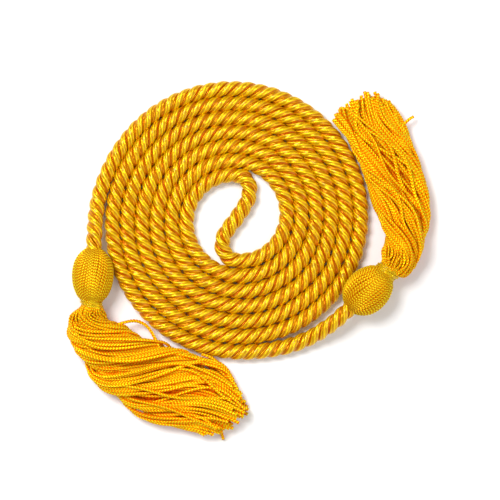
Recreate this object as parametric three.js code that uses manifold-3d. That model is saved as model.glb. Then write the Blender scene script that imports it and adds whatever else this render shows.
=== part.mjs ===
// An honor cord: one thick twisted rope with a tassel on each end, lying on a table.
// The rope is wound into a flat double spiral. Its two arms lie side by side and meet in an
// S bend in the middle, and the outer end of each arm runs on to a tassel.
// Millimetres, +Z up. The origin is on the table, under the S bend.

import * as THREE from 'three';
import { mergeVertices } from 'three/addons/utils/BufferGeometryUtils.js';
import Module from 'manifold-3d';

const wasm = await Module();
wasm.setup();

// The rope
const CORD_DIAMETER = 5.95;
const CORD_SIDES = 12;
const LAY_GAP = 0.4; // between turns that lie side by side
const PIECE_GAP = 0.3; // between two pieces that meet

// The coil. Each arm starts at the S bend and winds outward, counterclockwise from above.
const COIL_START_RADIUS = 18.4;
const COIL_DRIFT = 0.38; // how far the middle of the turns shifts towards -Y, per turn
const DEGREES_PER_SECTION = 12;
const LEFT_ARM = { start: 90, swept: 1140 };
const RIGHT_ARM = { start: 270, swept: 1080 };

// A tassel: a round head, a thread binding round its neck, and a skirt of cut strands
const HEAD_SIDES = 20;
const BINDING_LENGTH = 4.4;
const BINDING_WRAPS = 4;
const ARC_STEPS = 3; // faces round each turn of the binding
const SKIRT_LENGTH = 82;
const LOCK_SIDES = 8;

// Colours of the satin rope, the knitted strands and the binding thread
const SATIN_GOLD = new THREE.MeshStandardMaterial({ color: 0xe3a400, roughness: 0.38, metalness: 0 });
const KNITTED_GOLD = new THREE.MeshStandardMaterial({ color: 0xe8a90c, roughness: 0.62, metalness: 0 });
const THREAD_GOLD = new THREE.MeshStandardMaterial({ color: 0xd99a08, roughness: 0.5, metalness: 0 });

const CORD_RADIUS = CORD_DIAMETER / 2;
const TURN_PITCH = CORD_DIAMETER + LAY_GAP;
const ARM_GROWTH = 2 * TURN_PITCH; // per turn, because the other arm lies between

// The S bend: [x, y] from the start of the left arm to the start of the right arm
const S_BEND = [
  [2.9, 17.5], [4.9, 15.3], [5.6, 12], [4.9, 7.8], [2.4, 3.5], [-0.5, -0.85],
  [-3.9, -5.1], [-6, -9.4], [-6.1, -12.9], [-4.7, -15.9], [-2.3, -17.8],
];

// The free runs, from the coil to the tassel: degrees past the end of the arm, distance
// outside the spiral's own line, and share of the rise from the table to the head's middle
const LEFT_RUN = [
  [6, 0.05, 0], [13, 0.3, 0], [20, 0.65, 0.06], [26, 0.85, 0.22],
  [31, 1.05, 0.52], [35.5, 1.3, 0.84], [38.6, 1.75, 1], [41, 2.2, 1],
];
const RIGHT_RUN = [
  [6, 0.05, 0], [13, 0.3, 0], [20, 0.85, 0], [26.5, 1.4, 0.04],
  [33, 1.8, 0.2], [38.5, 2.05, 0.52], [43.5, 2.3, 0.84], [49.2, 2.6, 1], [52, 2.83, 1],
];

// The outline of a head: share of its length and share of its radius
const HEAD_PROFILE = [
  [0, 0.37], [0.04, 0.5], [0.13, 0.71], [0.24, 0.87], [0.37, 0.965],
  [0.5, 1], [0.63, 0.985], [0.75, 0.93], [0.86, 0.83], [0.94, 0.73], [1, 0.6],
];

// The two tassels. A skirt's rows run from the neck to the tips. The inner and the outer edge
// are shares of the skirt's length, measured along the head's axis and to the left of it.
// The foot and the height are shares of the head's radius, above the table. The tip bow is how
// far the middle strands reach past the last row.
const LEFT_TASSEL = {
  name: 'left',
  headLength: 21.2,
  headDiameter: 17.7,
  neckDiameter: 9.4,
  tipBow: [-0.006, 0.115],
  outline: [
    { inner: [0, 0.052], outer: [0, -0.052], foot: 0.47, height: 1.06 },
    { inner: [0.026, 0.068], outer: [0.036, -0.098], foot: 0.26, height: 1.2 },
    { inner: [0.066, 0.108], outer: [0.122, -0.117], foot: 0.06, height: 1.42 },
    { inner: [0.09, 0.205], outer: [0.22, -0.073], foot: 0, height: 1.44 },
    { inner: [0.14, 0.322], outer: [0.337, -0.004], foot: 0, height: 1.36 },
    { inner: [0.168, 0.438], outer: [0.456, 0.12], foot: 0, height: 1.24 },
    { inner: [0.209, 0.562], outer: [0.56, 0.292], foot: 0, height: 1.12 },
    { inner: [0.27, 0.7], outer: [0.605, 0.477], foot: 0, height: 1 },
    { inner: [0.385, 0.755], outer: [0.645, 0.625], foot: 0, height: 0.86 },
  ],
};
const RIGHT_TASSEL = {
  name: 'right',
  headLength: 20,
  headDiameter: 19,
  neckDiameter: 10,
  tipBow: [0.087, 0.059],
  outline: [
    { inner: [0, 0.055], outer: [0, -0.055], foot: 0.47, height: 1.06 },
    { inner: [0.028, 0.088], outer: [0.03, -0.08], foot: 0.26, height: 1.2 },
    { inner: [0.078, 0.128], outer: [0.129, -0.08], foot: 0.06, height: 1.42 },
    { inner: [0.135, 0.19], outer: [0.26, -0.028], foot: 0, height: 1.44 },
    { inner: [0.172, 0.3], outer: [0.373, 0.084], foot: 0, height: 1.36 },
    { inner: [0.221, 0.415], outer: [0.45, 0.207], foot: 0, height: 1.24 },
    { inner: [0.274, 0.531], outer: [0.526, 0.36], foot: 0, height: 1.12 },
    { inner: [0.31, 0.667], outer: [0.579, 0.498], foot: 0, height: 1 },
    { inner: [0.325, 0.757], outer: [0.59, 0.62], foot: 0, height: 0.86 },
  ],
};

// The locks of a skirt, in two layers: place across from the outer edge to the inner one,
// middle and half height as shares of the skirt's height, and how far the cut end stands out
const LOCKS = [
  { across: 0.12, middle: 0.29, half: 0.29, extra: 0.05 },
  { across: 0.31, middle: 0.3, half: 0.3, extra: -0.1 },
  { across: 0.5, middle: 0.3, half: 0.3, extra: 0.12 },
  { across: 0.69, middle: 0.3, half: 0.3, extra: -0.05 },
  { across: 0.88, middle: 0.29, half: 0.29, extra: 0.02 },
  { across: 0.22, middle: 0.62, half: 0.32, extra: -0.2 },
  { across: 0.41, middle: 0.67, half: 0.33, extra: 0 },
  { across: 0.6, middle: 0.67, half: 0.33, extra: -0.15 },
  { across: 0.79, middle: 0.62, half: 0.32, extra: 0.06 },
];
const LOCK_HALF_WIDTH = 0.125; // share of the skirt's width
const TIP_TAPER = 0.85; // size of a cut end against the row before it

// A point of an arm's spiral, pushed outward by `away`, at height z
function spiralPoint(arm, swept, away, z) {
  const angle = THREE.MathUtils.degToRad(arm.start + swept);
  const turns = swept / 360;
  const radius = COIL_START_RADIUS + ARM_GROWTH * turns + away;
  return new THREE.Vector3(
    radius * Math.cos(angle),
    radius * Math.sin(angle) - COIL_DRIFT * turns,
    z,
  );
}

// The turns of an arm, from the S bend outward
function armPoints(arm) {
  const points = [];
  for (let swept = 0; swept <= arm.swept; swept += DEGREES_PER_SECTION) {
    points.push(spiralPoint(arm, swept, 0, CORD_RADIUS));
  }
  return points;
}

// A free run, from the first point past the coil to the entry of its tassel
function runPoints(arm, run, tassel) {
  const rise = tassel.headDiameter / 2 - CORD_RADIUS;
  return run.map(([past, away, share]) => (
    spiralPoint(arm, arm.swept + past, away, CORD_RADIUS + share * rise)
  ));
}

// The whole rope's line, from the left tassel to the right tassel
const leftRun = runPoints(LEFT_ARM, LEFT_RUN, LEFT_TASSEL).reverse();
const leftArm = armPoints(LEFT_ARM).reverse();
const sBend = S_BEND.map(([x, y]) => new THREE.Vector3(x, y, CORD_RADIUS));
const rightArm = armPoints(RIGHT_ARM);
const rightRun = runPoints(RIGHT_ARM, RIGHT_RUN, RIGHT_TASSEL);
const ropePoints = [...leftRun, ...leftArm, ...sBend, ...rightArm, ...rightRun];
const ropeLine = new THREE.CatmullRomCurve3(ropePoints);

// A stretch of the rope's line between two of its points, with a section at each point
class Stretch extends THREE.Curve {
  constructor(first, last) {
    super();
    this.first = first;
    this.last = last;
  }

  getPoint(t, target = new THREE.Vector3()) {
    const place = THREE.MathUtils.lerp(this.first, this.last, t);
    return ropeLine.getPoint(place / (ropePoints.length - 1), target);
  }

  getUtoTmapping(u) {
    return u;
  }
}

// The rope's section: a polygon round a circle, with one flat side facing down
function ropeSection() {
  const corner = CORD_RADIUS / Math.cos(Math.PI / CORD_SIDES);
  const corners = [];
  for (let side = 0; side < CORD_SIDES; side += 1) {
    const angle = 2 * Math.PI * (side + 0.5) / CORD_SIDES;
    corners.push(new THREE.Vector2(corner * Math.cos(angle), corner * Math.sin(angle)));
  }
  return new THREE.Shape(corners);
}

function rope(name, first, last) {
  const steps = Math.round(last - first);
  const options = { steps, extrudePath: new Stretch(first, last), bevelEnabled: false };
  const mesh = new THREE.Mesh(new THREE.ExtrudeGeometry(ropeSection(), options), SATIN_GOLD);
  mesh.name = name;
  return mesh;
}

// A solid of revolution round the head's axis, which runs along +X
function turned(profile, material, name) {
  const geometry = new THREE.LatheGeometry(profile, HEAD_SIDES);
  geometry.rotateZ(-Math.PI / 2);
  const mesh = new THREE.Mesh(geometry, material);
  mesh.name = name;
  return mesh;
}

// The head: strands laid over a ball, from the rope's entry to the neck
function tasselHead(tassel) {
  const radius = tassel.headDiameter / 2;
  const profile = [new THREE.Vector2(0, 0)];
  for (const [along, share] of HEAD_PROFILE) {
    profile.push(new THREE.Vector2(share * radius, along * tassel.headLength));
  }
  profile.push(new THREE.Vector2(0, tassel.headLength));
  return turned(profile, KNITTED_GOLD, `${tassel.name}_tassel_head`);
}

// The radius of the gathered strands inside the binding
function rootRadius(tassel) {
  const thread = BINDING_LENGTH / BINDING_WRAPS;
  return tassel.neckDiameter / 2 - thread - PIECE_GAP;
}

// The binding: turns of thread side by side round the gathered strands
function neckBinding(tassel) {
  const thread = BINDING_LENGTH / BINDING_WRAPS;
  const inside = rootRadius(tassel) + PIECE_GAP;
  const profile = [new THREE.Vector2(inside, 0)];
  for (let bend = 0; bend <= BINDING_WRAPS * ARC_STEPS; bend += 1) {
    const angle = Math.PI * (bend % ARC_STEPS) / ARC_STEPS;
    const wrap = Math.floor(bend / ARC_STEPS);
    const out = inside + thread / 2 * (1 + Math.sin(angle));
    profile.push(new THREE.Vector2(out, thread * (wrap + 0.5 - Math.cos(angle) / 2)));
  }
  profile.push(new THREE.Vector2(inside, BINDING_LENGTH), profile[0]);
  return turned(profile, THREAD_GOLD, `${tassel.name}_neck_binding`);
}

// A closed tube whose rings follow a list of sections: middle, side direction, half width and
// half height. A cylinder of unit size gives the faces, and each of its rings is moved there.
function loft(sections) {
  const geometry = new THREE.CylinderGeometry(1, 1, 1, LOCK_SIDES, sections.length - 1);
  const position = geometry.attributes.position;
  for (let i = 0; i < position.count; i += 1) {
    const ring = Math.round((0.5 + position.getY(i)) * (sections.length - 1));
    const section = sections[ring];
    const sideways = -position.getX(i) * section.halfWidth;
    const upward = position.getZ(i) * section.halfHeight;
    position.setXYZ(
      i,
      section.middle.x + section.side.x * sideways,
      section.middle.y + section.side.y * sideways,
      section.middle.z + upward,
    );
  }
  return geometry;
}

// One lock of the skirt, from the neck to its cut end
function lock(tassel, { across, middle, half, extra }) {
  const radius = tassel.headDiameter / 2;
  const sections = tassel.outline.map(({ inner, outer, foot, height }) => {
    const from = new THREE.Vector3(...outer, 0).multiplyScalar(SKIRT_LENGTH);
    const to = new THREE.Vector3(...inner, 0).multiplyScalar(SKIRT_LENGTH);
    const width = from.distanceTo(to);
    const place = from.clone().lerp(to, across);
    place.z = radius * (foot - 1 + middle * height);
    return {
      middle: place,
      side: to.clone().sub(from).normalize(),
      halfWidth: LOCK_HALF_WIDTH * width,
      halfHeight: radius * half * height,
    };
  });
  const tip = sections.at(-1);
  const beforeTip = sections.at(-2);
  const onward = tip.middle.clone().sub(beforeTip.middle).setZ(0);
  const bow = new THREE.Vector3(...tassel.tipBow, 0).multiplyScalar(SKIRT_LENGTH);
  tip.middle.addScaledVector(onward, extra);
  tip.middle.addScaledVector(bow, 4 * across * (1 - across));
  tip.halfWidth *= TIP_TAPER;
  tip.halfHeight *= TIP_TAPER;
  tip.middle.z -= tip.halfHeight * (1 / TIP_TAPER - 1);
  return loft(sections);
}

// A geometry as a solid that can be joined to another
function solid(geometry) {
  const bare = geometry.clone();
  bare.deleteAttribute('normal');
  bare.deleteAttribute('uv');
  const merged = mergeVertices(bare);
  return new wasm.Manifold(new wasm.Mesh({
    numProp: 3,
    vertProperties: merged.attributes.position.array,
    triVerts: new Uint32Array(merged.index.array),
  }));
}

// The skirt: locks of cut strands, joined to the gathered root that the binding holds
function tasselSkirt(tassel) {
  const rootLength = BINDING_LENGTH + 2 * PIECE_GAP + rootRadius(tassel);
  const root = new THREE.CylinderGeometry(rootRadius(tassel), rootRadius(tassel), rootLength, HEAD_SIDES);
  root.rotateZ(-Math.PI / 2);
  root.translate(rootLength / 2 - BINDING_LENGTH - PIECE_GAP, 0, 0);
  let whole = solid(root);
  for (const row of LOCKS) {
    whole = whole.add(solid(lock(tassel, row)));
  }
  const { vertProperties, triVerts } = whole.getMesh();
  const geometry = new THREE.BufferGeometry();
  geometry.setAttribute('position', new THREE.BufferAttribute(vertProperties, 3));
  geometry.setIndex(new THREE.BufferAttribute(triVerts, 1));
  geometry.computeVertexNormals();
  const mesh = new THREE.Mesh(geometry, KNITTED_GOLD);
  mesh.name = `${tassel.name}_tassel_skirt`;
  return mesh;
}

// A tassel, hung on the end of the rope and pointing the way the rope's end points
function placedTassel(tassel, end, beforeEnd) {
  const heading = end.clone().sub(beforeEnd).setZ(0).normalize();
  const group = new THREE.Group();
  group.position.copy(end).addScaledVector(heading, PIECE_GAP);
  group.position.z = tassel.headDiameter / 2;
  group.rotation.z = Math.atan2(heading.y, heading.x);
  const head = tasselHead(tassel);
  const binding = neckBinding(tassel);
  binding.position.x = tassel.headLength + PIECE_GAP;
  const skirt = tasselSkirt(tassel);
  skirt.position.x = tassel.headLength + BINDING_LENGTH + 2 * PIECE_GAP;
  group.add(head, binding, skirt);
  return group;
}

const coilStart = leftRun.length;
const coilEnd = coilStart + leftArm.length + sBend.length + rightArm.length - 1;
const ropeEnd = ropePoints.length - 1;

// A free run starts a piece gap away from the coil's cut face
const leftGap = PIECE_GAP / ropePoints[coilStart].distanceTo(ropePoints[coilStart - 1]);
const rightGap = PIECE_GAP / ropePoints[coilEnd].distanceTo(ropePoints[coilEnd + 1]);

const honorCord = new THREE.Group();
honorCord.add(
  rope('cord_left_run', 0, coilStart - leftGap),
  rope('cord_coil', coilStart, coilEnd),
  rope('cord_right_run', coilEnd + rightGap, ropeEnd),
  placedTassel(LEFT_TASSEL, ropePoints[0], ropePoints[1]),
  placedTassel(RIGHT_TASSEL, ropePoints[ropeEnd], ropePoints[ropeEnd - 1]),
);

export default honorCord;
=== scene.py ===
# An honor cord, laid flat on a pale surface and seen from straight above.
import bpy
import numpy as np
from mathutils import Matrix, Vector


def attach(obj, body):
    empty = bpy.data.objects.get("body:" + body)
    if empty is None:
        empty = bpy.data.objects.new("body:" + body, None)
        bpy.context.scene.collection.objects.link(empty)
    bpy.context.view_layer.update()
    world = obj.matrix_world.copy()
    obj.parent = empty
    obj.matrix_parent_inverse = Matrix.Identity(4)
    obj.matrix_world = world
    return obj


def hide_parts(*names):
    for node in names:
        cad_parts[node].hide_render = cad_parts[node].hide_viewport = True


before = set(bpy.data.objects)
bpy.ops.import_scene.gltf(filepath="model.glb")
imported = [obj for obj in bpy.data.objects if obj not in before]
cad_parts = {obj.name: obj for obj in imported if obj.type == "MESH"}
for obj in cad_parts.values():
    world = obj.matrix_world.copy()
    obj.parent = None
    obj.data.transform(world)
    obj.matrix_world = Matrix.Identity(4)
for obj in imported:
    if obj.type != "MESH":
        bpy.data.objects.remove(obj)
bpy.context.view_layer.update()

# The camera looks straight down on the cord through a long lens, so that the heads, which
# stand higher than the rope, hardly grow. +Y of the cord is up in the picture.
MM = 0.001
VIEW_WIDTH = 215 * MM  # across the picture, at the height of the rope
VIEW_MIDDLE = (5.76 * MM, -13.87 * MM)
VIEW_FOCUS_HEIGHT = 3 * MM
LENS = 200  # in millimetres, as camera data counts it
camera_data = bpy.data.cameras.new("camera")
camera_data.lens = LENS
camera = bpy.data.objects.new("camera", camera_data)
camera_height = VIEW_FOCUS_HEIGHT + VIEW_WIDTH * LENS / camera_data.sensor_width
camera.location = (*VIEW_MIDDLE, camera_height)
bpy.context.scene.collection.objects.link(camera)
bpy.context.scene.camera = camera

# The rope: three strands of rayon gimp, each a core wound with fine thread, laid together
# left-handed. It lies in a double spiral whose arms meet in an S bend, and each of its ends
# climbs from the table into the head of a tassel.
CORD_DIAMETER = 5.95 * MM  # of the plain solid tube that stands for the rope
LAY_GAP = 0.4 * MM  # between turns that lie side by side
PIECE_GAP = 0.3 * MM  # between one solid and the next along the cord
COIL_START_RADIUS = 18.4 * MM
COIL_DRIFT = 0.38 * MM  # how far the middle of the turns shifts towards -Y, per turn
DEGREES_PER_SECTION = 12
LEFT_ARM = {"start": 90, "swept": 1140}
RIGHT_ARM = {"start": 270, "swept": 1080}
ARM_GROWTH = 2 * (CORD_DIAMETER + LAY_GAP)  # per turn, because the other arm lies between
LEFT_HEAD_DIAMETER = 17.7 * MM
RIGHT_HEAD_DIAMETER = 19 * MM

# The S bend in millimetres, from the start of the left arm to the start of the right arm
S_BEND = [
    (2.9, 17.5), (4.9, 15.3), (5.6, 12), (4.9, 7.8), (2.4, 3.5), (-0.5, -0.85),
    (-3.9, -5.1), (-6, -9.4), (-6.1, -12.9), (-4.7, -15.9), (-2.3, -17.8),
]
# The free runs: degrees past the end of the arm, millimetres outside the spiral's own line,
# and share of the rise from the table to the middle of the head
LEFT_RUN = [
    (6, 0.05, 0), (13, 0.3, 0), (20, 0.65, 0.06), (26, 0.85, 0.22),
    (31, 1.05, 0.52), (35.5, 1.3, 0.84), (38.6, 1.75, 1), (41, 2.2, 1),
]
RIGHT_RUN = [
    (6, 0.05, 0), (13, 0.3, 0), (20, 0.85, 0), (26.5, 1.4, 0.04),
    (33, 1.8, 0.2), (38.5, 2.05, 0.52), (43.5, 2.3, 0.84), (49.2, 2.6, 1), (52, 2.83, 1),
]
ROPE_DIAMETER = 6.35 * MM  # seen from above, on average
ROPE_HEIGHT = ROPE_DIAMETER / 2
ROPE_TUCK = 1.5 * MM  # how far the strands go on into a head
ROUTE_STEPS = 12  # points of the middle line for each point of the route
STRAND_RADIUS = 1.78 * MM
STRAND_OFFSET = 1.72 * MM  # from the rope's middle line to a strand's
STRAND_SIDES = 12
STRAND_POINTS = 2300
LAY_LENGTH = 15.9 * MM  # in which a strand goes once round
LAY_WAVES = [(0.1, 23 * MM, 0), (0.08, 9.1 * MM, 1)]  # radians off the lay, length, start
SWELL = 0.02  # of a strand's radius
SWELL_LENGTH = 5.3 * MM
SWELL_LATE = 2.1  # radians from one strand to the next
WRAP_PITCH = 0.42 * MM  # of the thread round a strand's core
TABLE_GAP = 0.02 * MM  # the lowest that a strand lies
TURN = 2 * np.pi


def unit(vectors):
    """Each vector divided by its length."""
    return vectors / np.linalg.norm(vectors, axis=-1, keepdims=True)


def spiral(arm, swept, away, height):
    """Points of an arm. The radius is the start radius, plus the growth times the turns swept,
    plus away. The middle of the circle shifts towards -Y by the drift times the turns."""
    angle = np.radians(arm["start"] + swept)
    turns = swept / 360
    radius = COIL_START_RADIUS + ARM_GROWTH * turns + away
    across = radius * np.cos(angle)
    up = radius * np.sin(angle) - COIL_DRIFT * turns
    return np.stack([across, up, height + 0 * angle], axis=-1)


def arm_points(arm):
    """The turns of an arm, from the S bend outward."""
    swept = np.arange(0, arm["swept"] + 1, DEGREES_PER_SECTION)
    return spiral(arm, swept, 0, ROPE_HEIGHT)


def run_points(arm, run, head_diameter):
    """A free run: the arm's spiral carried on, pushed outward and lifted to the head's middle."""
    past, away, share = np.array(run).T
    height = ROPE_HEIGHT + share * (head_diameter / 2 - ROPE_HEIGHT)
    return spiral(arm, arm["swept"] + past, away * MM, height)


def smooth_line(points, per_span):
    """A centripetal Catmull-Rom line through points, which may be several lines at once. Each
    span is the cubic between its ends, whose slopes there are weighed by the square roots of
    the distances to the neighbours."""
    first = 2 * points[..., :1, :] - points[..., 1:2, :]
    last = 2 * points[..., -1:, :] - points[..., -2:-1, :]
    every = np.concatenate([first, points, last], axis=-2)
    knots = np.sqrt(np.linalg.norm(np.diff(every, axis=-2), axis=-1))[..., None]
    slopes = np.diff(every, axis=-2) / knots
    wide = (every[..., 2:, :] - every[..., :-2, :]) / (knots[..., 1:, :] + knots[..., :-1, :])
    tangents = slopes[..., :-1, :] - wide + slopes[..., 1:, :]
    span = knots[..., 1:-1, :]
    start, end = points[..., :-1, None, :], points[..., 1:, None, :]
    leave = (tangents[..., :-1, :] * span)[..., None, :]
    arrive = (tangents[..., 1:, :] * span)[..., None, :]
    u = (np.arange(per_span) / per_span)[:, None]
    cubic = (
        (2 * u**3 - 3 * u**2 + 1) * start
        + (u**3 - 2 * u**2 + u) * leave
        + (3 * u**2 - 2 * u**3) * end
        + (u**3 - u**2) * arrive
    )
    line = cubic.reshape(*points.shape[:-2], -1, points.shape[-1])
    return np.concatenate([line, points[..., -1:, :]], axis=-2)


def line_length(line):
    """Distance along a line, at each of its points."""
    steps = np.linalg.norm(np.diff(line, axis=0), axis=1)
    return np.concatenate([[0], np.cumsum(steps)])


def even_line(line, count):
    """The same line with that many points, evenly spaced along its length."""
    distance = line_length(line)
    at = np.linspace(0, distance[-1], count)
    return np.stack([np.interp(at, distance, column) for column in line.T], axis=1)


def skin(name, rings, around, along, **attributes):
    """One mesh of closed tubes. rings is [tube, ring, side, xyz], in the right-handed sense
    round the way it runs, and a fan round the middle of each end ring closes it. around and
    along are the UV values of the sides and of [tube, ring]."""
    tubes, count, sides, _ = rings.shape
    corner = np.arange(tubes * count * sides).reshape(tubes, count, sides)
    after = np.roll(corner, -1, axis=2)
    walls = np.stack([corner[:, :-1], after[:, :-1], after[:, 1:], corner[:, 1:]], axis=-1)
    middles = rings[:, [0, -1]].mean(axis=2)
    hub = corner.size + np.arange(tubes * 2).reshape(tubes, 2, 1) + 0 * corner[:, :2]
    near = np.stack([hub[:, 0], after[:, 0], corner[:, 0]], axis=-1)
    far = np.stack([hub[:, 1], corner[:, -1], after[:, -1]], axis=-1)
    quads, fans = walls.reshape(-1, 4), np.concatenate([near, far]).reshape(-1, 3)

    mesh = bpy.data.meshes.new(name)
    vertices = np.concatenate([rings.reshape(-1, 3), middles.reshape(-1, 3)])
    mesh.vertices.add(len(vertices))
    mesh.vertices.foreach_set("co", vertices.ravel())
    mesh.loops.add(quads.size + fans.size)
    mesh.loops.foreach_set("vertex_index", np.concatenate([quads.ravel(), fans.ravel()]))
    mesh.polygons.add(len(quads) + len(fans))
    starts = [4 * np.arange(len(quads)), quads.size + 3 * np.arange(len(fans))]
    mesh.polygons.foreach_set("loop_start", np.concatenate(starts))
    mesh.update(calc_edges=True)
    mesh.shade_smooth()

    step = around[1] - around[0]
    u = np.stack([around, around + step, around + step, around], axis=-1)
    u = np.broadcast_to(u, walls.shape)
    v = np.stack([along[:, :-1], along[:, :-1], along[:, 1:], along[:, 1:]], axis=-1)
    v = np.broadcast_to(v[:, :, None], walls.shape)
    fan_v = np.repeat(np.concatenate([along[:, 0], along[:, -1]]), sides * 3)
    uv = np.concatenate([
        np.stack([u.ravel(), v.ravel()], axis=1),
        np.stack([0 * fan_v, fan_v], axis=1),
    ])
    mesh.uv_layers.new(name="lay").data.foreach_set("uv", uv.ravel())
    for key, values in attributes.items():
        ends = np.broadcast_to(values[:, [0, -1]].mean(axis=2), (tubes, 2))
        filled = np.concatenate([values.ravel(), ends.ravel()])
        mesh.attributes.new(key, "FLOAT", "POINT").data.foreach_set("value", filled)

    piece = bpy.data.objects.new(name, mesh)
    bpy.context.scene.collection.objects.link(piece)
    return piece


def tube_rings(lines, outward, thick, wide, relief):
    """Rings round lines [tube, point, xyz]: line + relief * (thick * cos a * outward + wide *
    sin a * sideways), for the angle a of each side. Sideways is square to the line and to
    outward. thick and wide are [tube, point], and relief is [tube, point, side]."""
    along = unit(np.gradient(lines, axis=1))
    outward = unit(outward - along * np.sum(outward * along, axis=-1, keepdims=True))
    sideways = np.cross(along, outward)
    angle = TURN * np.arange(relief.shape[2]) / relief.shape[2]
    up = (thick[:, :, None] * np.cos(angle) * relief)[..., None]
    over = (wide[:, :, None] * np.sin(angle) * relief)[..., None]
    return lines[:, :, None] + up * outward[:, :, None] + over * sideways[:, :, None]


class Wire:
    """A socket of a material's node tree. Arithmetic on wires and numbers adds Math nodes."""

    def __init__(self, tree, socket):
        self.tree = tree
        self.socket = socket

    def node(self, kind, settings=None, inputs=None, output=0):
        """Any node: its type, its settings, and the values or wires of its sockets."""
        made = self.tree.nodes.new(kind)
        for key, value in (settings or {}).items():
            setattr(made, key, value)
        for key, value in (inputs or {}).items():
            if isinstance(value, Wire):
                self.tree.links.new(value.socket, made.inputs[key])
            else:
                made.inputs[key].default_value = value
        return Wire(self.tree, made.outputs[output])

    def math(self, operation, *others):
        """A Math node on this wire and the others."""
        values = dict(enumerate((self, *others)))
        return self.node("ShaderNodeMath", {"operation": operation}, values)

    def __add__(self, other):
        return self.math("ADD", other)

    def __sub__(self, other):
        return self.math("SUBTRACT", other)

    def __rsub__(self, other):
        return (self * -1).math("ADD", other)

    def __mul__(self, other):
        return self.math("MULTIPLY", other)

    __radd__ = __add__
    __rmul__ = __mul__

    def mix(self, low, high):
        """The colour low where this wire is 0 and high where it is 1."""
        inputs = {0: self, 6: low, 7: high}
        return self.node("ShaderNodeMix", {"data_type": "RGBA"}, inputs, 2)

    def ramp(self, low, high):
        """0 where this wire is below low, 1 above high, and smooth between."""
        settings = {"interpolation_type": "SMOOTHSTEP"}
        return self.node("ShaderNodeMapRange", settings, {0: self, 1: low, 2: high})


def new_finish(name, constants):
    """A material whose Principled shader has these constants, and that shader's wire."""
    material = bpy.data.materials.new(name)
    material.use_nodes = True
    shader = material.node_tree.nodes["Principled BSDF"]
    for key, value in constants.items():
        shader.inputs[key].default_value = value
    return material, Wire(material.node_tree, shader.outputs[0])


def lay_wires(start):
    """The two wires of the UV map of a strand: turns round it, and counts along it."""
    uv = start.node("ShaderNodeUVMap", {"uv_map": "lay"})
    return [start.node("ShaderNodeSeparateXYZ", None, {0: uv}, axis) for axis in (0, 1)]


def dress(start, base, height, strength, depth):
    """The colour and the bump fed into the shader. A height of 1 stands out by the depth."""
    values = {"Strength": strength, "Distance": depth, "Height": height}
    bump = start.node("ShaderNodeBump", None, values)
    shader = start.socket.node
    start.tree.links.new(base.socket, shader.inputs["Base Color"])
    start.tree.links.new(bump.socket, shader.inputs["Normal"])


def rope_line():
    """The points of the rope's route, and the smooth middle line through them, from the left
    head to the right head."""
    left_run = run_points(LEFT_ARM, LEFT_RUN, LEFT_HEAD_DIAMETER)[::-1]
    right_run = run_points(RIGHT_ARM, RIGHT_RUN, RIGHT_HEAD_DIAMETER)
    bend = np.array([(x * MM, y * MM, ROPE_HEIGHT) for x, y in S_BEND])
    left_arm = arm_points(LEFT_ARM)[::-1]
    points = np.concatenate([left_run, left_arm, bend, arm_points(RIGHT_ARM), right_run])
    return points, smooth_line(points, ROUTE_STEPS)


def rope_strands(line):
    """Three strands round the line. At the distance s along it, strand k stands at the angle
    k / 3 - s / lay length of a turn, which goes left-handed, and sines along the line move it
    a little off that and swell it. Where it would reach into the table, it is flat."""
    ahead = unit(line[0] - line[1]) * ROPE_TUCK
    behind = unit(line[-1] - line[-2]) * ROPE_TUCK
    line = even_line(np.vstack([line[0] + ahead, line, line[-1] + behind]), STRAND_POINTS)
    distance = line_length(line)
    along = unit(np.gradient(line, axis=0))
    left = unit(np.cross([0, 0, 1], along))
    up = np.cross(along, left)
    wave = sum(size * np.sin(distance / length + late) for size, length, late in LAY_WAVES)
    number = np.arange(3)[:, None]
    turn = TURN * (number / 3 - distance / LAY_LENGTH) + wave
    outward = np.cos(turn)[..., None] * left + np.sin(turn)[..., None] * up
    swell = 1 + SWELL * np.sin(distance / SWELL_LENGTH + SWELL_LATE * number)
    thick = STRAND_RADIUS * swell
    strands = line + STRAND_OFFSET * outward
    relief = np.ones((3, STRAND_POINTS, STRAND_SIDES))
    rings = tube_rings(strands, outward, thick, thick, relief)
    rings[..., 2] = np.maximum(rings[..., 2], TABLE_GAP)
    around = np.arange(STRAND_SIDES) / STRAND_SIDES
    length = np.stack([line_length(strand) for strand in strands])
    return skin("twisted_rope", rings, around, length / WRAP_PITCH)


# The gimp's finish: plies that show along a strand, with painted highlights and shade, and the
# thread wound round it
PLIES = 7
PLY_CREEP = 0.006  # plies that a strand turns by in one wrap
PLY_WANDER = 0.6  # plies that the noise moves them by
WANDER_ROUND = 0.6  # how fast that noise changes round a strand
WANDER_ALONG = 0.03  # and along it, for each wrap
WRAP_HEIGHT = 0.6
PLY_HEIGHT = 2.6
GIMP_RELIEF = 0.04 * MM  # for a height of 1
# The next colours and shares paint light: a highlight on the back of each ply, and shade between
# plies and off the crest. The dull colour is a duller tone in random patches.
PLY_HIGHLIGHT = (1, 0.7, 0, 1)
PLY_SHADE = (0.54, 0.12, 0, 1)
GIMP_DULL = (0.6, 0.2, 0, 1)
HIGHLIGHT_SHARE = 0.65
SHADE_SHARE = 0.5
FLANK_SHADE = 0.35  # on top of that, off the crest
DULL_SHARE = 0.2


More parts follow.
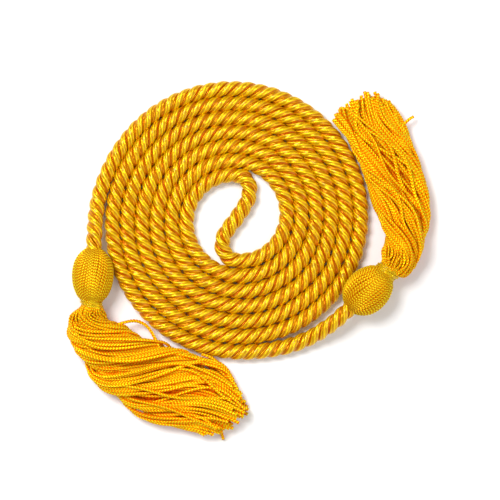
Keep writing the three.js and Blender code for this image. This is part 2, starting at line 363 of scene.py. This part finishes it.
def gimp_finish(name, shade_and_dull, middle, top):
    """Satin gold, with light and shade painted into its colour. The cosine of the angle round a
    strand is 1 on its crest, and the colour goes from painted shade between the strands, over
    the middle colour, to a painted highlight on the crest. The cosine of the ply count, put off
    by noise along the strand, gets a painted highlight on the back of a ply towards the crest,
    and painted shade between two plies, more so off the crest. Noise makes it duller in patches.
    The bump is the plies, and a sine across them where the wrapping thread goes round."""
    material, start = new_finish(name, {
        "Metallic": 0.5,
        "Roughness": 0.22,
        "Specular IOR Level": 0.6,
        "Specular Tint": (1, 0.92, 0.3, 1),
        "Coat Weight": 0.2,
        "Coat Roughness": 0.14,
    })
    around, wraps = lay_wires(start)
    crest = (around * TURN).math("COSINE")
    flank = (around * TURN).math("SINE")
    spot = {0: crest * WANDER_ROUND, 1: flank * WANDER_ROUND, 2: wraps * WANDER_ALONG}
    spot = start.node("ShaderNodeCombineXYZ", None, spot)
    drift = start.node("ShaderNodeTexNoise", None, {0: spot, "Scale": 2.0, "Detail": 1.0})
    ply = around * PLIES + wraps * PLY_CREEP + drift * PLY_WANDER
    ply = (ply * TURN).math("COSINE")
    wound = ((wraps + around) * TURN).math("SINE")
    place = start.node("ShaderNodeTexCoord", output=3)
    noise = start.node("ShaderNodeTexNoise", None, {0: place, "Scale": 700.0, "Detail": 2.0})
    # Painted light: a highlight on the ply backs towards the crest, shade between plies and off
    # the crest, and shade between the strands. The noise gives random duller patches.
    ply_highlight = ply.ramp(0.2, 1) * crest.ramp(-0.2, 0.6) * HIGHLIGHT_SHARE
    shade = ply.ramp(-0.1, -0.9) * (crest.ramp(0.95, 0.4) * FLANK_SHADE + SHADE_SHARE)
    base = crest.ramp(-0.15, 0.5).mix(shade_and_dull, middle)
    base = crest.ramp(0.5, 1).mix(base, top)
    base = ply_highlight.mix(base, PLY_HIGHLIGHT)
    base = shade.mix(base, PLY_SHADE)
    base = (noise.ramp(0.45, 0.7) * DULL_SHARE).mix(base, GIMP_DULL)
    dress(start, base, wound * WRAP_HEIGHT + ply * PLY_HEIGHT, 1.0, GIMP_RELIEF)
    return material


route_points, route = rope_line()
rope = rope_strands(route)
# The rope's satin: painted shade between the strands, and a painted highlight on their crests.
satin = gimp_finish(
    "rope_satin",
    shade_and_dull=(0.58, 0.055, 0, 1),
    middle=(0.7, 0.275, 0, 1),
    top=(0.78, 0.49, 0, 1),
)
rope.data.materials.append(satin)
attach(rope, "root")
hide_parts("cord_left_run", "cord_coil", "cord_right_run")

# The tassel heads: knitted chain strands of rayon laid side by side over a wooden ball, from
# the hole where the rope comes out to the neck, where thread holds them.
TASSELS = {
    "left": {
        "length": 21.2 * MM,
        "diameter": LEFT_HEAD_DIAMETER,
        "neck": 9.4 * MM,
        "lean": 1,  # the side that the skirt turns to: 1 is the left, -1 the right
        "seed": 3,
    },
    "right": {
        "length": 20 * MM,
        "diameter": RIGHT_HEAD_DIAMETER,
        "neck": 10 * MM,
        "lean": -1,
        "seed": 4,
    },
}
# Share of the head's length, and share of its radius there
HEAD_PROFILE = [
    (0, 0.37), (0.04, 0.5), (0.13, 0.71), (0.24, 0.87), (0.37, 0.965),
    (0.5, 1), (0.63, 0.985), (0.75, 0.93), (0.86, 0.83), (0.94, 0.73), (1, 0.6),
]
HEAD_STITCH = 1.22 * MM  # length of a stitch
HEAD_STRANDS = 46
HEAD_CHAIN = 0.8 * MM  # half the width of a strand on a head
HEAD_SINK = 0.95  # how deep a strand lies in the head's outline, as a share of its half width
HEAD_LIFT = 0.06  # how far one may stand off its neighbours, as a share of its half width
HEAD_JITTER = 0.12  # how far one may stand off its place, in strands
HEAD_LEAN = (0.3, 0.22)  # radians from the hole to the neck, and how much they differ
HEAD_WAVE = (0.05, 5)  # radians off that, and of the wave from the hole to the neck
HEAD_WAVE_LATE = 0.7  # radians of the wave from one strand to the next
HEAD_SQUEEZE = 0.45  # how far the height of a squeezed strand follows its width
HEAD_STEPS = 8  # points of the smooth outline for each row of the profile
STITCH_STEPS = 3  # rings to a stitch
STITCH_DEPTH = 0.16  # share of the strand's radius
WALES = 3  # rows of stitches round a strand
WALE_DEPTH = 0.06
WALE_LAG = 0.5  # how far a stitch is put off at the edge of a wale, in stitches
# The edge of a wale also takes painted shade in the colour, by this share.
WALE_SHADE = 0.7  # how much lower the edge of a wale counts in the colour
TONE_SHARE = 0.2  # how dull the dullest strand is
CHAIN_SIDES = 6
CHAIN_FUZZ = 0.3  # height of the noise on the yarn
CHAIN_RELIEF = 0.12 * MM  # for a height of 1


def set_place(tassel, end, before):
    """A tassel's own frame: its origin at the entry of the head, and its axes along the way
    the rope's end points, to the left of it and up."""
    ahead = unit((end - before) * (1, 1, 0))
    tassel["axes"] = np.array([ahead, np.cross([0, 0, 1], ahead), [0, 0, 1]])
    middle = end * (1, 1, 0) + [0, 0, tassel["diameter"] / 2]
    tassel["origin"] = middle + PIECE_GAP * ahead


def chainette(name, lines, outward, thick, wide, stitches, away, sunk_shade, rng):
    """Knitted chain strands along lines. Round a strand run wales of V-shaped stitches: its radius
    follows the cosine of the stitch count, put off towards the edge of a wale. away points out
    of the bundle, and how little a side faces that way, plus the strand's own extra shade, is
    the painted shade of that side. The cut ends get no painted shade."""
    strands = len(lines)
    along = rng.uniform(0, 1, (strands, 1)) + stitches * np.linspace(0, 1, lines.shape[1])
    around = np.arange(CHAIN_SIDES) / CHAIN_SIDES
    edge = np.abs(np.sin(WALES * np.pi * around))
    wave = np.cos(TURN * (along[..., None] + WALE_LAG * edge))
    relief = 1 + STITCH_DEPTH * wave - WALE_DEPTH * edge
    rings = tube_rings(lines, outward, thick, wide, relief)
    rings[..., 2] = np.maximum(rings[..., 2], TABLE_GAP)
    # Painted shade: the sides that face into the bundle, and those of the inner strands, get more
    # of it. The cut ends get none.
    facing = np.sum(unit(rings - lines[:, :, None]) * away[:, :, None], axis=-1)
    buried = 0.5 - 0.5 * facing + sunk_shade[..., None]
    buried[:, [0, -1]] = 0
    tone = rng.uniform(0, 1, (strands, 1, 1)) + 0 * relief
    return skin(name, rings, around, along, tone=tone, buried=buried)


def chainette_finish(name, shade_and_dull, middle, top, crevice_shade):
    """Satin gold yarn, with light and shade painted into its colour. The same wave as the
    stitches' relief takes its colour from painted shade between the stitches to a painted glint on
    the top of a stitch, with more painted shade at the edges of the wales. The sides turned into
    the bundle, where only light comes that other strands have coloured, take painted shade by the
    given share, and some strands are duller at random."""
    material, start = new_finish(name, {
        "Metallic": 0.3,
        "Roughness": 0.34,
        "Specular IOR Level": 0.08,
        "Specular Tint": (1, 0.85, 0.1, 1),
    })
    around, along = lay_wires(start)
    edge = (around * (WALES * np.pi)).math("SINE").math("ABSOLUTE")
    wave = ((along + edge * WALE_LAG) * TURN).math("COSINE")
    stitch = wave - edge * WALE_SHADE
    tone = start.node("ShaderNodeAttribute", {"attribute_name": "tone"}, output=2)
    buried = start.node("ShaderNodeAttribute", {"attribute_name": "buried"}, output=2)
    place = start.node("ShaderNodeTexCoord", output=3)
    noise = start.node("ShaderNodeTexNoise", None, {0: place, "Scale": 2500.0, "Detail": 2.0})
    # Painted light: shade between the stitches and at the wale edges, a glint on the stitch tops,
    # and shade on the sides turned into the bundle. The tone makes some strands duller at random.
    base = stitch.ramp(-1.6, -0.2).mix(shade_and_dull, middle)
    base = stitch.ramp(0, 0.7).mix(base, top)
    base = (tone * TONE_SHARE + buried.ramp(0.06, 0.56) * crevice_shade).mix(base, shade_and_dull)
    dress(start, base, stitch + noise * CHAIN_FUZZ, 0.8, CHAIN_RELIEF)
    return material


def sway(wave, share, start):
    """A sine from its start. The wave gives its size, and its radians for a share of 1."""
    size, pace = wave
    return size * np.sin(pace * share + start)


def head_strands(name, tassel):
    """Meridian strands: strand k stands at its share of a turn, follows the head's profile set in
    by a share of its width, and leans round the axis by its own amount on the way. The profile
    goes on a little at both ends, into the hole and under the binding."""
    rng = np.random.default_rng(tassel["seed"])
    profile = np.array([(-0.05, 0.3), *HEAD_PROFILE, (1.06, 0.5)])
    profile *= (tassel["length"], tassel["diameter"] / 2)
    profile = smooth_line(np.insert(profile, 2, 0, axis=1), HEAD_STEPS)
    stitches = round(line_length(profile)[-1] / HEAD_STITCH)
    profile = even_line(profile, stitches * STITCH_STEPS + 1)
    share = np.linspace(0, 1, len(profile))
    number = np.arange(HEAD_STRANDS)[:, None]
    jitter = rng.uniform(-HEAD_JITTER, HEAD_JITTER, (HEAD_STRANDS, 1))
    lean = HEAD_LEAN[0] + HEAD_LEAN[1] * np.sin(TURN * number / HEAD_STRANDS + 1)
    wave = sway(HEAD_WAVE, share, HEAD_WAVE_LATE * number)
    angle = TURN * (number + jitter) / HEAD_STRANDS + lean * share + wave
    lift = rng.uniform(-HEAD_LIFT, HEAD_LIFT, (HEAD_STRANDS, 1)) * HEAD_CHAIN
    radius = profile[:, 1] - HEAD_SINK * HEAD_CHAIN + lift
    wide = np.minimum(HEAD_CHAIN, TURN * radius / HEAD_STRANDS)
    thick = (1 - HEAD_SQUEEZE) * HEAD_CHAIN + HEAD_SQUEEZE * wide
    radial = np.stack([0 * angle, np.cos(angle), np.sin(angle)], axis=-1)
    lines = radial * radius[..., None]
    lines[..., 0] = profile[:, 0]
    lines = tassel["origin"] + lines @ tassel["axes"]
    radial = radial @ tassel["axes"]
    return chainette(name, lines, radial, thick, wide, stitches, radial, 0 * thick, rng)


set_place(TASSELS["left"], route_points[0], route_points[1])
set_place(TASSELS["right"], route_points[-1], route_points[-2])
# The heads' yarn: its colours run from painted shade to a painted glint on the stitch tops, and
# the sides in the bundle take painted shade.
cover = chainette_finish(
    "head_chainette",
    shade_and_dull=(0.54, 0.1, 0, 1),
    middle=(0.75, 0.37, 0, 1),
    top=(1, 1, 0.03, 1),
    crevice_shade=0.35,
)
for side, tassel in TASSELS.items():
    head = head_strands(side + "_head_strands", tassel)
    head.data.materials.append(cover)
    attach(head, "root")
    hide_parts(side + "_tassel_head")

# The neck bindings: a few turns of shiny rayon thread wound tightly round the gathered
# strands, a little aslant, with the last turns laid across the first.
BINDING_LENGTH = 4.4 * MM
NECK_LAYERS = [
    {"turns": 4, "thread": 0.52 * MM, "lift": 0, "slant": 0.7 * MM, "from": 0.12, "to": 0.88},
    {"turns": 2, "thread": 0.5 * MM, "lift": 0.5 * MM, "slant": 1.4 * MM, "from": 0.36, "to": 0.8},
]
BINDING_START = 2.1  # radians round the neck, where each layer begins
BINDING_RIPPLE = (0.06 * MM, 0.7)  # in and out, over the uneven strands below
THREAD_SIDES = 8
THREAD_POINTS = 36  # to a turn


def neck_threads(name, tassel):
    """Thread wound in layers. Each layer is a helix whose place along the neck also swings
    with the cosine of its angle by the slant, towards the side that the tassel leans to."""
    turns = max(layer["turns"] for layer in NECK_LAYERS)
    share = np.linspace(0, 1, turns * THREAD_POINTS)
    lines, radials, threads = [], [], []
    for layer in NECK_LAYERS:
        angle = TURN * layer["turns"] * share + BINDING_START
        ripple = sway(BINDING_RIPPLE, angle, 0)
        radius = tassel["neck"] / 2 - layer["thread"] + layer["lift"] + ripple
        reach = layer["from"] + (layer["to"] - layer["from"]) * share
        along = tassel["length"] + PIECE_GAP + reach * BINDING_LENGTH
        along = along + layer["slant"] * tassel["lean"] * np.cos(angle)
        radial = np.stack([0 * angle, np.cos(angle), np.sin(angle)], axis=-1)
        lines.append(radius[:, None] * radial + np.stack([along, 0 * along, 0 * along], axis=-1))
        radials.append(radial)
        threads.append(np.full(len(share), layer["thread"]))
    lines = tassel["origin"] + np.stack(lines) @ tassel["axes"]
    outward = np.stack(radials) @ tassel["axes"]
    thick = np.stack(threads)
    relief = np.ones((*thick.shape, THREAD_SIDES))
    rings = tube_rings(lines, outward, thick, thick, relief)
    length = np.stack([line_length(line) for line in lines])
    around = np.arange(THREAD_SIDES) / THREAD_SIDES
    return skin(name, rings, around, length / WRAP_PITCH)


# The binding's floss: painted shade between the threads, and a painted highlight on their crests.
floss = gimp_finish(
    "binding_floss",
    shade_and_dull=(0.8, 0.14, 0, 1),
    middle=(0.95, 0.48, 0, 1),
    top=(1, 0.8, 0.01, 1),
)
for side, tassel in TASSELS.items():
    threads = neck_threads(side + "_neck_threads", tassel)
    threads.data.materials.append(floss)
    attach(threads, "root")
    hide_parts(side + "_neck_binding")

# The skirts: the same knitted strands, which hang free below the neck, twist together in
# locks and are cut off at the tips. A few have slipped out of the bundle.
SKIRT_LENGTH = 82 * MM
SKIRT_STITCH = 1.28 * MM  # length of a stitch
SKIRT_CHAIN = 0.7 * MM  # radius of a strand
SKIRT_POINTS = 72  # along a strand, while the strands are laid
SKIRT_STEPS = 4  # points of the smooth line for each of those
STRAY_STEPS = 12  # and for each point of a stray
ROW_STEPS = 16  # steps of the smooth lines between two rows
# Each layer's last value is extra painted shade for its strands, more for the inner layers.
SKIRT_LAYERS = [
    {"strands": 66, "depth": 0.94, "sunk_shade": 0},
    {"strands": 42, "depth": 0.74, "sunk_shade": 0.12},
    {"strands": 12, "depth": 0.4, "sunk_shade": 0.3},
]
LAYER_COUNTS = [layer["strands"] for layer in SKIRT_LAYERS]
SKIRT_LOCKS = 13  # in each layer
TIP_ROWS = (8.7, 9.06)  # where the strands may end
LOCK_TIP = 0.1  # how many rows more or less a whole lock may reach
LOCK_HASTE = (0.95, 1.05)  # how far a lock is ahead of the twist

# How the strands sway: a size, and the radians of a wave for each row. Swings are in radians
# round the bundle, wanders in half widths out of it, and lifts in metres.
LOCK_SWING = (0.15, 0.95)
OWN_SWING = (0.08, 1.3)
RIDER_SWING = (0.46, 1.6)
LOCK_WANDER = (0.08, 0.8)
OWN_WANDER = (0.04, 2.3)
LOCK_LIFT = (1.3 * MM, 0.8)
RIDER_LIFT = 1.8 * MM
RIDER_SHARE = 0.27  # of the outer strands, which cross over the others
FREE_ROWS = (1, 3)  # where the strands come free of the neck
FREE_INSET = 0.04  # half widths that the free strands draw in by

# How the strands settle, each round
SETTLE_ROUNDS = 40
SETTLE_PUSH = 0.16  # of the overlap of two strands
SETTLE_SMOOTH = 0.25  # of the bend
SETTLE_RETURN = 0.04  # of the way back
HELD_POINTS = 3  # in the binding's grip
NECK_SQUEEZE = 0.62  # share of a strand's girth that is left at the neck
SQUEEZE_START = 4
SQUEEZE_REACH = 12  # points, over which it goes to 1

CUT_FLARE = 1.12  # how a cut end spreads
STRAND_ROLL = 2.5  # radians that a strand rolls by on its way
# Over this last share of a strand's length, the extra painted shade of an inner strand fades out.
BARE_TIP = 0.2  # share of its length over which a sunk strand comes out
MIDDLE_DROP = 12 * MM  # how far below the strands' mean the line is that they lie round
CORE_SIZE = 0.56
CORE_ROWS = (0.2, 8.2)
CORE_RINGS = 90
CORE_STITCHES = 9  # for each row
CORE_RIDGES = 26
RIDGE_DEPTH = 0.05
RIDGE_SIDES = 4

# The rows of a skirt run from the neck to the tips. The columns are the inner edge, the outer
# edge, the foot and the height. Edges are shares of the skirt's length, along the head's axis
# and to its left. The foot and the height are shares of the head's radius, above the table.
# Each twist turns the bundle from one row to another, by radians. fullness spreads the
# strands in the rows, and tip_bow rounds the tips, by shares of the length. The strays are
# lines in millimetres.
SKIRTS = {
    "left": {
        "seed": 11,
        "twists": [(1.5, 6.2, 3.4), (3.5, 8.6, 3.0)],
        "fullness": 1.035,
        "tip_bow": (0.01, 0.115),
        "rows": [
            (0, 0.052, 0, -0.052, 0.47, 1.06),
            (0.027, 0.062, 0.036, -0.098, 0.26, 1.2),
            (0.068, 0.1, 0.124, -0.12, 0.06, 1.42),
            (0.09, 0.205, 0.227, -0.085, 0, 1.44),
            (0.14, 0.322, 0.345, -0.017, 0, 1.36),
            (0.168, 0.438, 0.463, 0.109, 0, 1.24),
            (0.209, 0.562, 0.564, 0.285, 0, 1.12),
            (0.27, 0.7, 0.605, 0.477, 0, 1),
            (0.385, 0.755, 0.645, 0.625, 0, 0.86),
        ],
        "strays": [
            [(-53.5, -46.8, 9), (-48.5, -45, 7.5), (-43, -44.4, 5), (-38.6, -46.6, 4),
             (-34.8, -52, 6.5), (-32.5, -57, 8)],
            [(-15, -58.5, 7), (-10.5, -60.2, 6), (-6.3, -64, 4), (-3.6, -68, 3), (-2, -70.6, 2.6)],
            [(-9.5, -86, 5), (-7.6, -90, 4), (-6.4, -93, 2.5), (-5.8, -95.3, 1.2)],
        ],
    },
    "right": {
        "seed": 12,
        "twists": [(2.5, 4.3, 2.3), (3.6, 8.6, 1.8)],
        "fullness": 0.98,
        "tip_bow": (0.08, 0.04),
        "rows": [
            (0, 0.055, 0, -0.055, 0.47, 1.06),
            (0.028, 0.088, 0.03, -0.08, 0.26, 1.2),
            (0.078, 0.128, 0.129, -0.08, 0.06, 1.42),
            (0.124, 0.2, 0.26, -0.028, 0, 1.44),
            (0.165, 0.311, 0.37, 0.087, 0, 1.36),
            (0.213, 0.428, 0.447, 0.21, 0, 1.24),
            (0.265, 0.545, 0.523, 0.362, 0, 1.12),
            (0.3, 0.68, 0.576, 0.5, 0, 1),
            (0.314, 0.775, 0.587, 0.62, 0, 0.86),
        ],
        "strays": [
            [(64, 33, 8), (69, 37.2, 6.5), (72.4, 40.8, 5.2), (74.6, 42.6, 4.6), (76, 43.4, 4.2)],
        ],
    },
}


def skirt_place(tassel, skirt, share, sideways, upward):
    """Points of a skirt: at the row share, sideways runs from -1 at the outer edge to 1 at the
    inner one, and upward from -1 at the foot to 1 at the top. Between the rows run smooth
    lines, which go on by a row before the first and after the last."""
    rows = np.array(skirt["rows"], float)
    lead_in = rows[0] * (0, 0.7, 0, 0.7, 1, 1) + (-0.045, 0, -0.045, 0, 0.15, -0.3)
    lead_out = rows[-1] + 0.8 * (rows[-1] - rows[-2])
    table = smooth_line(np.vstack([lead_in, rows, lead_out]), ROW_STEPS)
    position = np.clip(share * ROW_STEPS, 0, len(table) - 1.001)
    low = position.astype(int)
    part = (position - low)[..., None]
    row = table[low] * (1 - part) + table[low + 1] * part
    across = (0.5 + 0.5 * sideways)[..., None]
    flat = row[..., 2:4] * (1 - across) + row[..., 0:2] * across
    past = np.clip(share - (len(rows) - 1), 0, 1.4)[..., None]  # the last row
    bow = past * 4 * across * (1 - across)  # 0 at both edges
    flat = (flat + bow * np.array(skirt["tip_bow"])) * SKIRT_LENGTH
    start = tassel["length"] + BINDING_LENGTH + 2 * PIECE_GAP
    up = 0.5 + 0.5 * upward
    height = tassel["diameter"] / 2 * (row[..., 4] - 1 + up * row[..., 5])
    local = np.stack([flat[..., 0] + start, flat[..., 1], height], axis=-1)
    return tassel["origin"] + local @ tassel["axes"]


def twisted(skirt, share):
    """How far the bundle has turned at a row share: a sum of smooth steps, each from one row
    to another."""
    turned = 0 * share
    for start, end, amount in skirt["twists"]:
        part = np.clip((share - start) / (end - start), 0, 1)
        turned = turned + amount * part * part * (3 - 2 * part)
    return turned


def skirt_lines(tassel, skirt, rng):
    """Where a skirt's strands run. Across its section a strand stands at a share of the half
    width and height, at an angle that turns from the outer edge over the top to the inner
    edge on the way to the tips. Strands of one lock sway together, each sways a little on its
    own, and the riders also cross over the others."""
    angle = [TURN * (np.arange(count) + 0.5) / count for count in LAYER_COUNTS]
    angle = np.concatenate(angle)
    depth = np.repeat([layer["depth"] for layer in SKIRT_LAYERS], LAYER_COUNTS)
    layer = np.repeat(np.arange(len(LAYER_COUNTS)), LAYER_COUNTS)
    lock = (angle / TURN * SKIRT_LOCKS).astype(int) + SKIRT_LOCKS * layer
    count, locks = len(angle), SKIRT_LOCKS * len(LAYER_COUNTS)
    end = rng.uniform(*TIP_ROWS, count) + rng.uniform(-LOCK_TIP, LOCK_TIP, locks)[lock]
    t = end[:, None] * np.linspace(0, 1, SKIRT_POINTS)
    lock_wave = rng.uniform(0, TURN, (locks, 1))[lock]
    own_wave = rng.uniform(0, TURN, (count, 1))
    rider = (rng.uniform(0, 1, (count, 1)) < RIDER_SHARE) * (layer[:, None] == 0)
    free = np.interp(t, FREE_ROWS, (0, 1))
    swing = sway(LOCK_SWING, t, lock_wave) + sway(OWN_SWING, t, own_wave)
    swing = swing + rider * sway(RIDER_SWING, t, 2 * own_wave)
    haste = rng.uniform(*LOCK_HASTE, (locks, 1))[lock]
    turn = angle[:, None] - haste * twisted(skirt, t) + free * swing
    wander = sway(LOCK_WANDER, t, 2 * lock_wave) + sway(OWN_WANDER, t, own_wave)
    out = skirt["fullness"] * depth[:, None] + free * (wander - FREE_INSET)
    lines = skirt_place(tassel, skirt, t, out * np.cos(turn), out * np.sin(turn))
    lift = RIDER_LIFT * rider + sway(LOCK_LIFT, t, 2 * lock_wave)
    lines[..., 2] += lift * free * np.clip(np.sin(turn), 0, 1)
    return lines


def settle(lines, girth):
    """Strands pushed apart where they lie in each other. Each pair of points nearer than their
    girth moves apart by a share of the overlap; then each line is smoothed, drawn back a
    little to where it began, and kept above the table. This is done for some rounds."""
    lines = lines.astype(np.float32)
    home = lines.copy()
    place = np.arange(lines.shape[1])
    own = np.arange(len(lines))
    for _ in range(SETTLE_ROUNDS):
        push = np.zeros_like(lines)
        for shift in (-2, -1, 0, 1, 2):
            other = lines[:, np.clip(place + shift, 0, place[-1])]
            apart = lines[:, None] - other[None]
            distance = np.sqrt(np.sum(apart * apart, axis=-1)) + 1e-7  # never 0
            overlap = np.clip(girth - distance, 0, None) / distance
            overlap[own, own] = 0
            push += np.einsum("abp,abpx->apx", overlap, apart)
        lines[:, HELD_POINTS:] += SETTLE_PUSH * push[:, HELD_POINTS:]
        bend = lines[:, :-2] + lines[:, 2:] - 2 * lines[:, 1:-1]
        lines[:, 1:-1] += SETTLE_SMOOTH * bend
        lines += SETTLE_RETURN * (home - lines)
        lines[..., 2] = np.maximum(lines[..., 2], girth / 2)
    return lines.astype(float)


def free_strands(name, lines, squeeze, middle, sunk_shade, rng):
    """Knitted strands of one girth along lines, rolled at random about themselves. squeeze is
    the share of the girth at even steps from the neck to the tips, and middle is the line
    that they lie round. The sides turned towards that line take painted shade, and each
    strand's own extra painted shade fades out near the tip."""
    lengths = np.linalg.norm(np.diff(lines, axis=1), axis=-1).sum(axis=1)
    stitches = round(lengths.mean() / SKIRT_STITCH)
    steps = stitches * STITCH_STEPS + 1
    even = np.stack([even_line(line, steps) for line in lines])
    share = np.linspace(0, 1, steps)
    girth = SKIRT_CHAIN * np.interp(share, np.linspace(0, 1, len(squeeze)), squeeze)
    girth = girth * np.interp(share, [0, 0.98, 1], [1, 1, CUT_FLARE]) + 0 * even[..., 0]
    roll = rng.uniform(0, TURN, (len(even), 1)) + STRAND_ROLL * share
    along = unit(np.gradient(even, axis=1))
    side = unit(np.cross(along, [0, 0, 1]))
    top = np.cross(side, along)
    outward = np.cos(roll)[..., None] * top + np.sin(roll)[..., None] * side
    away = unit(even - even_line(middle, steps))
    sunk_shade = np.reshape(sunk_shade, (-1, 1)) * np.clip((1 - share) / BARE_TIP, 0, 1)
    return chainette(name, even, outward, girth, girth, stitches, away, sunk_shade, rng)


def skirt_core(name, tassel, skirt, rng):
    """The bundle's hidden middle: the skirt's own section made smaller, from the neck to
    short of the tips, twisted as the strands are, with a ridge for each strand."""
    share = np.linspace(*CORE_ROWS, CORE_RINGS)[:, None]
    sides = CORE_RIDGES * RIDGE_SIDES
    angle = -TURN * np.arange(sides) / sides - twisted(skirt, share)
    around = np.arange(sides) / RIDGE_SIDES
    size = CORE_SIZE * (1 + RIDGE_DEPTH * np.cos(TURN * around))
    sideways, upward = size * np.cos(angle), size * np.sin(angle)
    rings = skirt_place(tassel, skirt, share + 0 * angle, sideways, upward)
    tone = np.repeat(rng.uniform(0, 1, CORE_RIDGES), RIDGE_SIDES) + 0 * angle
    along = share.T * CORE_STITCHES
    # The hidden middle takes the full painted shade of the bundle's inside.
    return skin(name, rings[None], around, along, tone=tone[None], buried=1 + 0 * tone[None])


# The skirts' yarn: its colours run from painted shade to a painted glint on the stitch tops, and
# the sides in the bundle take painted shade.
knitted = chainette_finish(
    "skirt_chainette",
    shade_and_dull=(0.93, 0.14, 0, 1),
    middle=(0.85, 0.64, 0, 1),
    top=(0.94, 1, 0.03, 1),
    crevice_shade=0.72,
)
squeezed = np.clip((np.arange(SKIRT_POINTS) - SQUEEZE_START) / SQUEEZE_REACH, 0, 1)
squeeze = NECK_SQUEEZE + (1 - NECK_SQUEEZE) * squeezed
sunk_shade = np.repeat([layer["sunk_shade"] for layer in SKIRT_LAYERS], LAYER_COUNTS)
for side, skirt in SKIRTS.items():
    tassel = TASSELS[side]
    rng = np.random.default_rng(skirt["seed"])
    laid = skirt_lines(tassel, skirt, rng)
    laid = settle(laid, (2 * SKIRT_CHAIN * squeeze).astype(np.float32))
    laid = smooth_line(laid, SKIRT_STEPS)
    middle = laid.mean(axis=0) - (0, 0, MIDDLE_DROP)
    half = len(laid) // 2  # in two pieces, to keep each a fair size
    pieces = [
        skirt_core(side + "_skirt_core", tassel, skirt, rng),
        free_strands(side + "_skirt_strands_1", laid[:half], squeeze, middle, sunk_shade[:half], rng),
        free_strands(side + "_skirt_strands_2", laid[half:], squeeze, middle, sunk_shade[half:], rng),
    ]
    for number, line in enumerate(skirt["strays"]):
        stray = smooth_line(np.array(line)[None] * MM, STRAY_STEPS)
        name = f"{side}_stray_strand_{number + 1}"
        # With the middle line a metre down, a stray's painted shade falls on its underside.
        below = stray[0] - (0, 0, 1)  # a metre down, so that only the strand's underside is buried
        pieces.append(free_strands(name, stray, np.ones(2), below, 0, rng))
    for piece in pieces:
        piece.data.materials.append(knitted)
        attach(piece, "root")
    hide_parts(side + "_tassel_skirt")

# The floor and the light: a plain white table under soft light, with the main light from the
# upper left, as a product picture has it. All of it is in metres.
FLOOR_HALF = 1.5
LIGHTS = [
    {"name": "key", "place": (-0.42, 0.42, 1.0), "size": 0.5, "watts": 14},
    {"name": "fill", "place": (0.7, -0.5, 0.8), "size": 1.2, "watts": 6},
]
WORLD_STRENGTH = 0.38
corners = [(-1, -1, 0), (1, -1, 0), (1, 1, 0), (-1, 1, 0)]
floor_mesh = bpy.data.meshes.new("floor")
floor_mesh.from_pydata(np.array(corners) * FLOOR_HALF, [], [(0, 1, 2, 3)])
floor = bpy.data.objects.new("floor", floor_mesh)
bpy.context.scene.collection.objects.link(floor)
floor_finish, _ = new_finish("pale_floor", {
    "Base Color": (0.9, 0.9, 0.9, 1),
    "Roughness": 0.9,
    "Emission Color": (1, 1, 1, 1),
    "Emission Strength": 0.02,
})
floor_mesh.materials.append(floor_finish)

for row in LIGHTS:
    light_data = bpy.data.lights.new(row["name"], "AREA")
    light_data.size = row["size"]
    light_data.energy = row["watts"]
    light = bpy.data.objects.new(row["name"], light_data)
    place = np.array(row["place"])
    light.location = place
    light.rotation_mode = "QUATERNION"
    light.rotation_quaternion = Vector(-place).to_track_quat("-Z", "Y")
    bpy.context.scene.collection.objects.link(light)

world = bpy.data.worlds.new("daylight")
world.use_nodes = True
world.node_tree.nodes["Background"].inputs["Color"].default_value = (1, 1, 1, 1)
world.node_tree.nodes["Background"].inputs["Strength"].default_value = WORLD_STRENGTH
bpy.context.scene.world = world
bpy.context.scene.view_settings.view_transform = "Standard"
